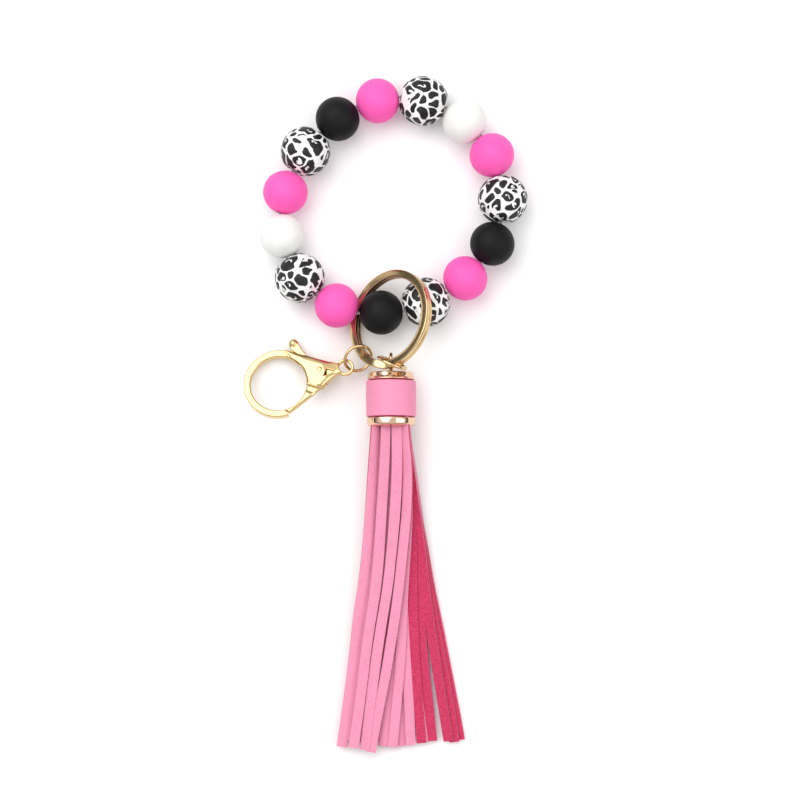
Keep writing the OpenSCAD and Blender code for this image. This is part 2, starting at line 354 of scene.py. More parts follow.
def silicone(name, col, spec=0.35, sub=0.0, rough=(0.5, 0.62)):
    m, nt, bs = new_mat(name)
    n1 = noise(nt, 260, 4.0)
    r = ramp(nt, n1.outputs["Fac"], [(0.3, mul(col, 0.955)), (0.7, mul(col, 1.02))])
    nt.links.new(r.outputs["Color"], bs.inputs["Base Color"])
    rough_noise(nt, bs, rough[0], rough[1], 900)
    bs.inputs["Specular IOR Level"].default_value = spec
    if sub:
        bs.inputs["Subsurface Weight"].default_value = sub
        bs.inputs["Subsurface Radius"].default_value = (0.0016, 0.0007, 0.001)
        bs.inputs["Subsurface Scale"].default_value = 1.0
    n2 = noise(nt, 5200, 2.0)
    bump(nt, bs, n2.outputs["Fac"], 0.35, 0.00002)
    return m


def metal(name, col, rough=(0.16, 0.26), bump_d=0.000012, scratch=0.25):
    m, nt, bs = new_mat(name)
    bs.inputs["Metallic"].default_value = 1.0
    n1 = noise(nt, 340, 4.0)
    r = ramp(nt, n1.outputs["Fac"], [(0.3, mul(col, 0.94)), (0.7, mul(col, 1.03))])
    nt.links.new(r.outputs["Color"], bs.inputs["Base Color"])
    rough_noise(nt, bs, rough[0], rough[1], 1500)
    n2 = noise(nt, 3800, 3.0)
    bump(nt, bs, n2.outputs["Fac"], scratch, bump_d)
    return m


def leather(name, col, dark, grain=0.00005):
    m, nt, bs = new_mat(name)
    n1 = noise(nt, 190, 5.0)
    r = ramp(nt, n1.outputs["Fac"], [(0.25, mul(col, 0.93)), (0.75, mul(col, 1.03))])
    tc = nt.nodes.new("ShaderNodeTexCoord")
    vo = nt.nodes.new("ShaderNodeTexVoronoi")
    vo.feature = "DISTANCE_TO_EDGE"
    vo.inputs["Scale"].default_value = 2300
    nt.links.new(tc.outputs["Object"], vo.inputs["Vector"])
    cr = ramp(nt, vo.outputs["Distance"], [(0.0, g(0.0)), (0.12, g(1.0))])
    mix = nt.nodes.new("ShaderNodeMix")
    mix.data_type = "RGBA"
    mix.inputs["A"].default_value = dark
    nt.links.new(cr.outputs["Color"], mix.inputs["Factor"])
    nt.links.new(r.outputs["Color"], mix.inputs["B"])
    nt.links.new(mix.outputs["Result"], bs.inputs["Base Color"])
    rough_noise(nt, bs, 0.42, 0.56, 1100)
    bs.inputs["Specular IOR Level"].default_value = 0.35
    b1 = bump(nt, bs, cr.outputs["Color"], 0.45, grain)
    n2 = noise(nt, 900, 3.0)
    bump(nt, bs, n2.outputs["Fac"], 0.4, grain, b1)
    return m


def suede(name, col, dark):
    m, nt, bs = new_mat(name)
    n1 = noise(nt, 1500, 6.0, 0.7)
    r = ramp(nt, n1.outputs["Fac"], [(0.3, dark), (0.62, col), (0.8, mul(col, 1.18))])
    nt.links.new(r.outputs["Color"], bs.inputs["Base Color"])
    rough_noise(nt, bs, 0.86, 0.97, 700)
    bs.inputs["Specular IOR Level"].default_value = 0.15
    bs.inputs["Sheen Weight"].default_value = 0.35
    bs.inputs["Sheen Roughness"].default_value = 0.5
    n2 = noise(nt, 4200, 4.0, 0.7)
    bump(nt, bs, n2.outputs["Fac"], 0.7, 0.00009)
    return m


PINK = silicone("silicone_pink", lin(252, 92, 180), sub=0.1)
WHITE = silicone("silicone_white", lin(233, 233, 230), sub=0.05)
BLACK = silicone("silicone_black", lin(12, 13, 15), spec=0.2, rough=(0.5, 0.62))
GOLD = metal("gold_plate", lin(216, 188, 142), rough=(0.12, 0.2), bump_d=0.000006)
GOLD_PALE = metal("gold_clasp", lin(220, 192, 138), rough=(0.1, 0.17), bump_d=0.000005)
ROSE = metal("rose_gold_plate", lin(232, 194, 164), rough=(0.08, 0.14), bump_d=0.000005)
FACE = leather("leather_face", lin(233, 150, 180), lin(216, 116, 152))
WRAP = leather("leather_wrap", lin(238, 148, 180), lin(226, 128, 164))
SUEDE = suede("suede_back", lin(208, 64, 102), lin(166, 30, 72))
# a darker copy of the suede as painted shade, for strip edges in the gaps between strips, the crevice beside the cap's
# band and the inside of the cap
SUEDE_SHADED = suede("suede_painted_shade", lin(205, 40, 92), lin(150, 14, 55))


def leopard_mat():
    m, nt, bs = new_mat("silicone_leopard")
    at = nt.nodes.new("ShaderNodeAttribute")
    at.attribute_name = "spot"
    n0 = noise(nt, 1500, 3.0)
    ad = nt.nodes.new("ShaderNodeMath")
    ad.operation = "MULTIPLY_ADD"
    ad.inputs[1].default_value = 0.10
    nt.links.new(n0.outputs["Fac"], ad.inputs[0])
    nt.links.new(at.outputs["Fac"], ad.inputs[2])
    edge = nt.nodes.new("ShaderNodeMapRange")
    edge.inputs["From Min"].default_value = 0.02
    edge.inputs["From Max"].default_value = 0.08
    nt.links.new(ad.outputs["Value"], edge.inputs["Value"])
    n1 = noise(nt, 420, 4.0)
    blk = ramp(nt, n1.outputs["Fac"], [(0.35, lin(6, 6, 7)), (0.6, lin(22, 22, 24)), (0.78, lin(52, 52, 56))])
    n2 = noise(nt, 300, 3.0)
    wht = ramp(nt, n2.outputs["Fac"], [(0.3, lin(228, 227, 226)), (0.7, lin(250, 250, 249))])
    mix = nt.nodes.new("ShaderNodeMix")
    mix.data_type = "RGBA"
    nt.links.new(edge.outputs["Result"], mix.inputs["Factor"])
    nt.links.new(wht.outputs["Color"], mix.inputs["A"])
    nt.links.new(blk.outputs["Color"], mix.inputs["B"])
    nt.links.new(mix.outputs["Result"], bs.inputs["Base Color"])
    rough_noise(nt, bs, 0.4, 0.56, 900)
    bs.inputs["Specular IOR Level"].default_value = 0.4
    n3 = noise(nt, 5000, 2.0)
    bump(nt, bs, n3.outputs["Fac"], 0.3, 0.00002)
    return m


LEO = leopard_mat()

# ---------------------------------------------------------------- beads
cnt = {}
names = {"P": "bead_pink_", "L": "bead_leopard_", "W": "bead_white_", "K": "bead_black_"}
mats = {"P": PINK, "W": WHITE, "K": BLACK, "L": LEO}


def bead_profile(r, bore, flat):
    # outside from pole to pole, then the bore, with eased mouths
    out = []
    a0 = math.asin((bore + 0.35) / r) if flat is None else math.acos(flat / r)
    n = 60
    for k in range(n + 1):
        a = a0 + (math.pi - 2 * a0) * k / n
        out.append((r * math.sin(a), -r * math.cos(a)))
    h = out[-1][1]
    r1 = out[-1][0]
    if flat is not None:
        for k in range(1, 4):
            out.append((r1 + (bore + 0.4 - r1) * k / 3, h))
    for k in range(1, 5):
        a = math.pi / 2 * k / 4
        out.append((bore + 0.35 * (1 - math.sin(a)), h - 0.35 * (1 - math.cos(a))))
    for k in range(1, 5):
        out.append((bore, (h - 0.35) + (-2 * (h - 0.35)) * k / 5))
    lower = [(p[0], -p[1]) for p in out[n + 1:-4]][::-1]
    return out + lower


def vnoise(P, seed, scale):
    """Cheap smooth vector noise by summed sines."""
    r = np.random.default_rng(seed)
    out = np.zeros_like(P)
    for _ in range(5):
        K = r.normal(size=(3, 3)) * scale
        ph = r.uniform(0, 6.28, 3)
        out += np.sin(P @ K + ph)
    return out / 5


def leopard_field(P, seed):
    """Signed depth inside a dark spot, mm, over points of a ball (mm, from its centre)."""
    r = np.random.default_rng(seed)
    n = 54
    k = np.arange(n) + 0.5
    ph = np.arccos(1 - 2 * k / n)
    th = math.pi * (1 + 5 ** 0.5) * k
    S = np.c_[np.cos(th) * np.sin(ph), np.sin(th) * np.sin(ph), np.cos(ph)]
    S += r.normal(size=S.shape) * 0.10
    S /= np.linalg.norm(S, axis=1)[:, None]
    U = P / np.linalg.norm(P, axis=1)[:, None]
    Uw = U + 0.17 * vnoise(U, seed + 1, 3.4) + 0.07 * vnoise(U, seed + 2, 8.0) + 0.02 * vnoise(U, seed + 3, 18.0)
    best = np.full(len(P), 1e9)
    second = np.full(len(P), 1e9)
    third = np.full(len(P), 1e9)
    who = np.zeros(len(P), int)
    weights = r.uniform(-0.10, 0.13, n)
    axes = [unit(np.cross(S[i], r.normal(size=3))) for i in range(n)]
    for i in range(n):
        d = Uw - S[i]
        al = d @ axes[i]
        q = np.sqrt(np.maximum((d * d).sum(1) - 0.45 * al * al, 0)) - weights[i]
        nearer = q < best
        third = np.where(nearer, second, np.where(q < second, second, np.minimum(third, q)))
        second = np.where(nearer, best, np.minimum(second, q))
        who = np.where(nearer, i, who)
        best = np.where(nearer, q, best)
    web = 0.27 + 0.17 * vnoise(U, seed + 4, 7.0)[:, 0]
    joint = np.clip(0.17 - (third - best), 0, 1) * 3.2
    f = (second - best) * 8.3 / 2 - np.clip(web, 0.13, 0.55) - joint
    # white crescents and hooks inside the bigger spots
    for i in range(n):
        if weights[i] < 0.0 or r.random() > 0.75:
            continue
        t1, t2 = axes[i], np.cross(S[i], axes[i])
        d = Uw - S[i]
        x, y = d @ t1 - r.uniform(-0.03, 0.03), d @ t2 - r.uniform(-0.03, 0.03)
        rr = np.hypot(x, y * 1.25)
        an = np.abs((np.arctan2(y, x) - r.uniform(0, 6.28) + math.pi) % (2 * math.pi) - math.pi)
        r0, w0 = r.uniform(0.075, 0.11), r.uniform(0.028, 0.042)
        arc_ = np.where(an < 1.9, np.abs(rr - r0) - w0, 1.0)
        core = rr - r.uniform(0.02, 0.05)
        dd = np.minimum(arc_, core if r.random() < 0.4 else 1.0) * 8.3
        f = np.where(who == i, np.minimum(f, dd), f)
    # little dots on the white web
    for _ in range(60):
        c = unit(r.normal(size=3))
        dd = (r.uniform(0.018, 0.04) - np.linalg.norm(Uw - c, axis=1)) * 8.3
        f = np.where(f < -0.10, np.maximum(f, dd), f)
    return f


beads = []
for i, k in enumerate(KINDS):
    cnt[k] = cnt.get(k, 0) + 1
    node = names[k] + str(cnt[k])
    o = C[i] + SH
    if k == "L":
        prof = bead_profile(8.3, 1.2, 7.5)
        ob = lathe("look_" + node, prof, o, D[i], [LEO], seg=176, sharp=35)
        P = np.array([v.co for v in ob.data.vertices], float) / MM - o
        along = P @ D[i]
        f = leopard_field(P, 40 + 7 * i)
        rad = np.linalg.norm(P, axis=1)
        on_skin = np.clip((np.linalg.norm(P - np.outer(along, D[i]), axis=1) - 2.0) / 1.5, 0, 1)
        h = 0.13 * np.clip(f / 0.22, -1, 1) * on_skin + (0.0 if i == 7 else 0.10) * on_skin
        n_ = P / rad[:, None]
        P2 = (P + n_ * h[:, None] + o) * MM
        ob.data.vertices.foreach_set("co", P2.ravel())
        at = ob.data.attributes.new("spot", "FLOAT", "POINT")
        at.data.foreach_set("value", f.astype(np.float32))
        ob.data.update()
    else:
        prof = bead_profile(7.5, 1.2, None)
        ob = lathe("look_" + node, prof, o, D[i], [mats[k]], seg=112, sharp=35,
                   fn=lambda r_, h_, a_, j_: (r_ * (1.0 + (0.026 if i not in (8, 9) else 0.014) * min(1, r_ / 4.0)), h_))
    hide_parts(node)
    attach(ob, node)
    beads.append(ob)

# ---------------------------------------------------------------- elastic
m, nt, bs = new_mat("elastic_clear")
bs.inputs["Base Color"].default_value = lin(190, 176, 182)
bs.inputs["Transmission Weight"].default_value = 0.5
bs.inputs["IOR"].default_value = 1.45
rough_noise(nt, bs, 0.25, 0.4, 1500)
bump(nt, bs, noise(nt, 2500, 3.0).outputs["Fac"], 0.3, 0.00002)
ELASTIC = m
pts = []
for i in range(NB):
    h = 5.5
    p0, p1 = C[i] - D[i] * h, C[i] + D[i] * h
    for t in np.linspace(0, 1, 6):
        pts.append(p0 + (p1 - p0) * t)
    q0, q1 = C[(i + 1) % NB] - D[(i + 1) % NB] * h, p1
    L = np.linalg.norm(q0 - q1)
    for t in np.linspace(0, 1, 9)[1:-1]:
        a_, b_ = q1, q0
        ta, tb = D[i] * L, D[(i + 1) % NB] * L
        pts.append((2 * t**3 - 3 * t**2 + 1) * a_ + (t**3 - 2 * t**2 + t) * ta + (-2 * t**3 + 3 * t**2) * b_ + (t**3 - t**2) * tb)
pts = np.array(pts) + SH
tan = np.roll(pts, -1, 0) - np.roll(pts, 1, 0)
tan /= np.linalg.norm(tan, axis=1)[:, None]
up = np.tile([0, 0, 1.0], (len(pts), 1))
side = np.cross(tan, up)
ob = sweep("look_elastic", pts, side, up, round_rect(0.98, 0.98, 0.48, 3), [ELASTIC], closed=True, sharp=60)
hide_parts("elastic_cord")
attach(ob, "elastic")

# ---------------------------------------------------------------- key ring
SPLIT, SW = 286.0, 24.0
RO, RI, CT, CG = 17.25, 14.6, 1.36, 0.08
rm = (RO + RI) / 2
path, nn, bb, sc = [], [], [], []
a0, a1 = SPLIT + 0.2, SPLIT + 720 - SW - 0.2
N = 720
for k in range(N + 1):
    a = a0 + (a1 - a0) * k / N
    ar = math.radians(a)
    zup, zlo = CG / 2 + CT / 2, -CG / 2 - CT / 2
    s = (a - (SPLIT + 360 - SW)) / SW
    s = min(1, max(0, s))
    z = zup + (zlo - zup) * s * s * (3 - 2 * s)
    er = math.cos(ar) * RU + math.sin(ar) * RV
    dist = min(a - a0, a1 - a) * math.pi / 180 * rm
    tip = 1.3
    q = 1.0 if dist >= tip else math.sqrt(max(0.0, 1 - (1 - dist / tip) ** 2))
    sc.append((max(q, 0.06), max(0.55 + 0.45 * q, 0.5)))
    path.append(RING_C + SH + rm * er + z * RN)
    nn.append(er)
    bb.append(RN)
ob = sweep("look_key_ring", path, nn, bb, round_rect(RO - RI, CT, 0.26, 4), [GOLD], scales=sc, sharp=50)
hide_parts("key_ring")
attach(ob, "key_ring")


# ---------------------------------------------------------------- wire rings
def wire_ring(name, c, n, rmean, wire, cut_deg, mat, node, body, xdir):
    x = unit(np.asarray(xdir, float) - np.dot(xdir, n) * n)
    y = np.cross(n, x)
    halfgap = 0.07 / rmean
    path, nn, bb, sc = [], [], [], []
    N = 140
    for k in range(N + 1):
        a = math.radians(cut_deg) + halfgap + (2 * math.pi - 2 * halfgap) * k / N
        er = math.cos(a) * x + math.sin(a) * y
        path.append(c + SH + rmean * er)
        nn.append(er)
        bb.append(n)
        e = min(k, N - k)
        q = 0.93 if e == 0 else 1.0
        sc.append((q, q))
    sec = [(wire / 2 * math.cos(t), wire / 2 * math.sin(t)) for t in np.linspace(0, 2 * math.pi, 21)[:-1]]
    ob = sweep(name, path, nn, bb, sec, [mat], scales=sc, sharp=60)
    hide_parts(node)
    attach(ob, body)
    return ob


def xdir_of(n):
    return unit(np.cross([0, 1, 0], n))


wire_ring("look_clasp_ring", JUMP_C, JN, 4.8, 1.1, 150, GOLD, "clasp_ring", "clasp_ring", xdir_of(JN))
wire_ring("look_tassel_ring", TR_C, TN, 4.9, 1.2, 20, GOLD, "tassel_ring", "tassel_ring", unit(np.cross([0, 0, 1], TN)))

# ---------------------------------------------------------------- clasp
HR, HI, HT = 12.1, 9.7, 3.0
BODY = [(4.6, 11.0), (8.2, 9.1), (12.2, 7.0), (15.2, 5.1), (18.0, 3.4), (21.4, 1.75), (21.8, -1.6), (19.6, -2.1), (17.2, -3.4), (14.6, -5.2), (12.3, -5.2), (9.6, -3.4), (8, -3), (7.5, 5)]
EYE = (23.5, 0.0)


def to_clasp(V):
    V = np.asarray(V, float)
    return HOOK + SH + np.outer(V[:, 0], C1) + np.outer(V[:, 1], C2) + np.outer(V[:, 2], C3)


def f_body(u, v, w):
    rho = np.hypot(u, v)
    # hook: an eased section that is fullest in its middle
    hw = (HR - HI) / 2
    d2 = np.abs(rho - (HR + HI) / 2) - hw
    hook = extr(d2, w, HT / 2, 0.5)
    # its slanted free end, and its root inside the body
    free = (u + 0.52) * 0.835 + (v + 9.65) * 0.55
    start = math.radians(30)
    root = u * math.sin(start) - v * math.cos(start)
    hook = np.maximum(hook, np.where(v <= 0, free, root))
    # body: a domed teardrop
    db = poly_sd(u, v, BODY)
    db = np.maximum(db, HI - rho)
    inside = np.clip(-db, 0, 3.2)
    dome = 1.38 + 1.05 * np.sqrt(np.clip(1 - (1 - inside / 3.2) ** 2, 0, 1)) * np.clip((21.2 - u) / 5.0, 0, 1) ** 0.8
    body = np.maximum(db, (np.abs(w) - dome) * 0.8)
    # ease the outer edge
    body = smin(body, extr(db, w, 1.45, 0.7), 0.25)
    f = smin(hook, body, 1.1)
    # neck and eye
    re = np.hypot(u - EYE[0], v - EYE[1])
    ring = extr(np.abs(re - 2.55) - 0.45, w, 0.9, 0.4)
    neck = extr(np.maximum(np.abs(v) - 1.5, np.maximum(19.5 - u, u - 21.6)), w, 0.9, 0.3)
    f = smin(f, neck, 0.5)
    f = smin(f, ring, 0.35)
    f = np.maximum(f, 2.1 - re)
    # hollow beside the eye, open to the gate's slot
    notch = poly_sd(u, v, [(17.1, 0.6), (19.9, -0.8), (15.4, -1.9)])
    f = np.maximum(f, -np.maximum(notch, 0.95 - w))
    # slot for the gate
    slot = np.minimum(poly_sd(u, v, [(6, 10.4), (7.5, 14), (14, 14), (16.6, 6.6), (17.2, 1.5), (15.6, -6.5), (12, -8), (8, -6), (9, 0), (11.6, 3.6)]),
                      np.hypot(u - PIV[0], v - PIV[1]) - 2.15)
    f = np.maximum(f, -np.maximum(slot, np.abs(w) - 1.0))
    f = np.maximum(f, 0.62 - np.hypot(u - PIV[0], v - PIV[1]))
    return f


step = 0.14
V, F = surface_nets(f_body, (-12.7, -12.7, -3.2), (27.5, 12.2, 3.2), step)
ob = mesh_obj("look_clasp_body", to_clasp(V), F, [GOLD_PALE])
sm = ob.modifiers.new("smooth", "SMOOTH")
sm.factor = 0.5
sm.iterations = 1
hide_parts("clasp_body")
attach(ob, "clasp")

GATE_ARM = [(13.6, 2.2), (16.5, 0.0), (15.9, -4.4), (1.3, -11.3), (-0.15, -9.6), (10.0, -3.2)]
GATE_LEVER = [(13.3, 1.8), (16.5, 2.0), (13.4, 6.4), (11.9, 7.2), (10.5, 10.2), (9.7, 13.3), (6.6, 12.9), (7.0, 10.6), (8.6, 8.8), (11.2, 5.4)]


def f_gate(u, v, w):
    rho = np.hypot(u, v)
    rp = np.hypot(u - PIV[0], v - PIV[1])
    arm = np.minimum(poly_sd(u, v, GATE_ARM), rp - 1.9)
    arm = np.maximum(arm, HI - rho)
    out = np.clip((rp - 8.0) / 1.2, 0, 1)
    half = 0.92 + 0.43 * out
    a = np.maximum(arm, np.abs(w) - half)
    a = smin(a, extr(arm, w, 0.92, 0.3), 0.1)
    # ease the edges
    a = np.maximum(a, (arm + np.abs(w) - half + 0.42) * 0.7071)
    lev = extr(poly_sd(u, v, GATE_LEVER), w, 0.92, 0.45)
    ball = np.sqrt((u - 8.15) ** 2 + (v - 13.2) ** 2 + w * w) - 1.7
    lev = np.maximum(lev, HI + 0.15 - rho)
    f = np.minimum(a, smin(lev, ball, 0.3))
    return np.maximum(f, 0.66 - rp)


V, F = surface_nets(f_gate, (-1.5, -12.5, -2.2), (18, 16.2, 2.2), step * 0.8)
ob = mesh_obj("look_clasp_gate", to_clasp(V), F, [GOLD_PALE])
sm = ob.modifiers.new("smooth", "SMOOTH")
sm.factor = 0.5
sm.iterations = 1
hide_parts("clasp_gate")
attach(ob, "clasp_gate")

# rivet: shank with two domed heads
prof = [(0.0, -2.72)]
for k in range(1, 7):
    a = math.pi / 2 * k / 6
    prof.append((1.0 * math.sin(a), -2.35 - 0.37 * math.cos(a)))
prof += [(0.6, -2.33), (0.6, 2.33)]
for k in range(0, 6):
    a = math.pi / 2 * (1 - k / 6)
    prof.append((1.0 * math.sin(a), 2.35 + 0.37 * math.cos(a)))
prof.append((0.0, 2.72))
ob = lathe("look_clasp_pin", prof, to_clasp([[PIV[0], PIV[1], 0]])[0], C3, [GOLD], seg=36, closed=False, sharp=40)
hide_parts("clasp_pin")
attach(ob, "clasp")

# ---------------------------------------------------------------- tassel cap, axis towards -Y
AX = np.array([0, -1.0, 0])
O = CAP + SH


def arc(pts, cx, cy, r, a0, a1, n=5):
    for k in range(n + 1):
        a = math.radians(a0 + (a1 - a0) * k / n)
        pts.append((cx + r * math.cos(a), cy + r * math.sin(a)))


prof = [(0.84, 0.0), (6.6, 0.0)]
arc(prof, 7.0, 0.55, 0.55, -90, -10)
prof += [(7.75, 1.3)]
arc(prof, 7.95, 2.3, 0.33, -60, 60)
prof += [(7.6, 2.72), (7.0, 2.75), (7.0, 15.6), (7.7, 15.62)]
arc(prof, 7.95, 15.95, 0.33, -80, 0)
prof += [(8.3, 16.6), (8.28, 17.2)]
arc(prof, 7.3, 17.4, 0.98, 0, 60, 6)
prof += [(7.3, 18.55), (6.9, 18.72), (6.45, 18.7), (6.3, 18.5), (6.3, 2.2), (0.84, 2.2)]
# the cup's face under the band shows only in the thin gaps beside it and takes the shaded suede copy: painted shade in
# the crevice
ob = lathe("look_cap_cup", prof, O, AX, [ROSE, SUEDE_SHADED], seg=128, sharp=35, face_mat=[1 if abs(q[0] - 7.0) < 0.01 and 2 < q[1] < 15 else 0 for q in prof])
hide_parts("cap_cup")
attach(ob, "tassel_cap")

prof = [(7.05, 3.0)]
arc(prof, 8.2, 3.34, 0.33, -90, 0)
prof += [(8.52, 4.2), (8.55, 9.1), (8.52, 14.2)]
arc(prof, 8.2, 14.9, 0.33, 0, 90)
prof += [(7.05, 15.23)]


def wrap_fn(r, h, a, j):
    if r > 7.6:
        r += 0.02 * math.sin(3 * a + h * 0.5) + 0.015 * math.sin(7 * a + 1)
        # butt seam on the underside
        s = abs((a - math.pi * 1.5 + math.pi) % (2 * math.pi) - math.pi)
        if s < 0.03:
            r -= 0.25
    return r, h


ob = lathe("look_cap_band", prof, O, AX, [WRAP], seg=216, sharp=35, fn=wrap_fn, xref=[1, 0, 0])
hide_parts("cap_band")
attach(ob, "tassel_cap")

# eye: a loop of wire on a stem, headed inside the cap
ec = np.array([-3.05, 12.6, 9.9]) + SH
path, nn, bb = [], [], []
for k in range(72):
    a = 2 * math.pi * k / 72
    er = np.array([0, math.cos(a), math.sin(a)])
    path.append(ec + 2.4 * er)
    nn.append(er)
    bb.append([1.0, 0, 0])
sec = [(0.6 * math.cos(t), 0.6 * math.sin(t)) for t in np.linspace(0, 2 * math.pi, 19)[:-1]]
eye = sweep("look_cap_eye", path, nn, bb, sec, [GOLD], closed=True, sharp=60)
stem = lathe("look_cap_stem", [(0.0, -1.75), (0.55, -1.72), (0.8, -1.4), (0.8, 2.6), (2.0, 2.6), (2.0, 3.4), (1.8, 3.6), (0.0, 3.6)], O, AX, [GOLD], seg=40, closed=False)
collar = lathe("look_cap_washer", [(0.86, -0.02), (0.86, -0.45), (1.2, -0.6), (1.9, -0.6), (2.25, -0.4), (2.3, -0.02)], O, AX, [ROSE], seg=48)
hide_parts("cap_eye")
for o_ in (eye, stem, collar):
    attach(o_, "tassel_cap")

# ---------------------------------------------------------------- fringe
YM = CAP[1] - 18.9 + SH[1]     # mouth of the cap, row frame


def strip(name, st, z, kind, th=1.1, roll=None, crown=0.10, end_round=0.0):
    """st: stations (distance below the mouth, left x, right x) in mm, row frame; z: (distance, height) list."""
    st = np.asarray(st, float)
    s_end = st[-1, 0]
    S = np.concatenate([np.linspace(-6.0, 0, 5)[:-1], np.linspace(0, s_end, 56)])
    xl = np.interp(S, st[:, 0], st[:, 1])
    xr = np.interp(S, st[:, 0], st[:, 2])
    # smooth the polylines
    for _ in range(6):
        xl[1:-1] = (xl[:-2] + 2 * xl[1:-1] + xl[2:]) / 4
        xr[1:-1] = (xr[:-2] + 2 * xr[1:-1] + xr[2:]) / 4
    zz = np.interp(S, [q[0] for q in z], [q[1] for q in z])
    for _ in range(8):
        zz[1:-1] = (zz[:-2] + 2 * zz[1:-1] + zz[2:]) / 4
    rr = np.zeros(len(S)) if roll is None else np.radians(np.interp(S, [q[0] for q in roll], [q[1] for q in roll]))
    cx = (xl + xr) / 2
    w = (xr - xl)
    P = np.c_[cx, YM - S, zz]
    T = np.gradient(P, axis=0)
    T /= np.linalg.norm(T, axis=1)[:, None]
    flat = np.cross(T, np.array([0, 0, 1.0]))
    flat /= np.linalg.norm(flat, axis=1)[:, None]
    flat = -flat                                   # towards +X
    upv = np.cross(T, flat)
    upv = np.where(upv[:, 2:3] < 0, -upv, upv)
    side = flat * np.cos(rr)[:, None] + upv * np.sin(rr)[:, None]
    nrm_ = upv * np.cos(rr)[:, None] - flat * np.sin(rr)[:, None]
    # section: a closed ring of points, face side first
    k = 7
    top = [(-0.5 + j / (k - 1), 0.5) for j in range(k)]
    bot = [(0.5 - j / (k - 1), -0.5) for j in range(k)]
    lay = 0.22
    sec = top + [(0.5, 0.5 - lay)] + bot + [(-0.5, 0.5 - lay)]
    sec = np.array(sec)
    n = len(sec)
    V, FM, F = [], [], []
    cosT = np.abs(np.cos(rr))
    true_w = np.clip(w / np.maximum(cosT, 0.55), 1.5, 3.75)
    for q in range(len(S)):
        a = sec[:, 0] * true_w[q]
        b = sec[:, 1] * th
        edge = np.abs(sec[:, 0]) * 2
        cr = crown * (1 - edge**2)
        b = b + cr
        # eased corners
        b = np.where((edge > 0.99) & (np.abs(sec[:, 1]) > 0.45), b - np.sign(sec[:, 1]) * 0.07, b)
        if kind == "suede":
            b = -b
        V.append(P[q] + np.outer(a, side[q]) + np.outer(b, nrm_[q]))
    V = np.concatenate(V)
    for q in range(len(S) - 1):
        for j in range(n):
            j2 = (j + 1) % n
            quad = (q * n + j, (q + 1) * n + j, (q + 1) * n + j2, q * n + j2)
            F.append(quad if kind == "suede" else quad[::-1])
            FM.append(0 if (j < k or j == n - 1) else 1)
    cap0 = tuple(range(n))
    cap1 = tuple((len(S) - 1) * n + j for j in range(n))
    F.append(cap0 if kind != "suede" else cap0[::-1])
    FM.append(1)
    F.append(cap1[::-1] if kind != "suede" else cap1)
    FM.append(1)
    # strips of the darker-edged kind take the shaded suede copy on their sides and back: painted shade
    ob = mesh_obj(name, V, F, [FACE, SUEDE if kind != "shade_edged" else SUEDE_SHADED], FM, sharp=38)
    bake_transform(ob)
    return ob


def X(p):
    return (p - 400) / PX + SH[0]


def stations(rows):
    """rows: (image row, left, right) of the reference layout."""
    out = []
    for y, l, r in rows:
        out.append(((y - 428.5) / PX, X(l), X(r)))
    return out


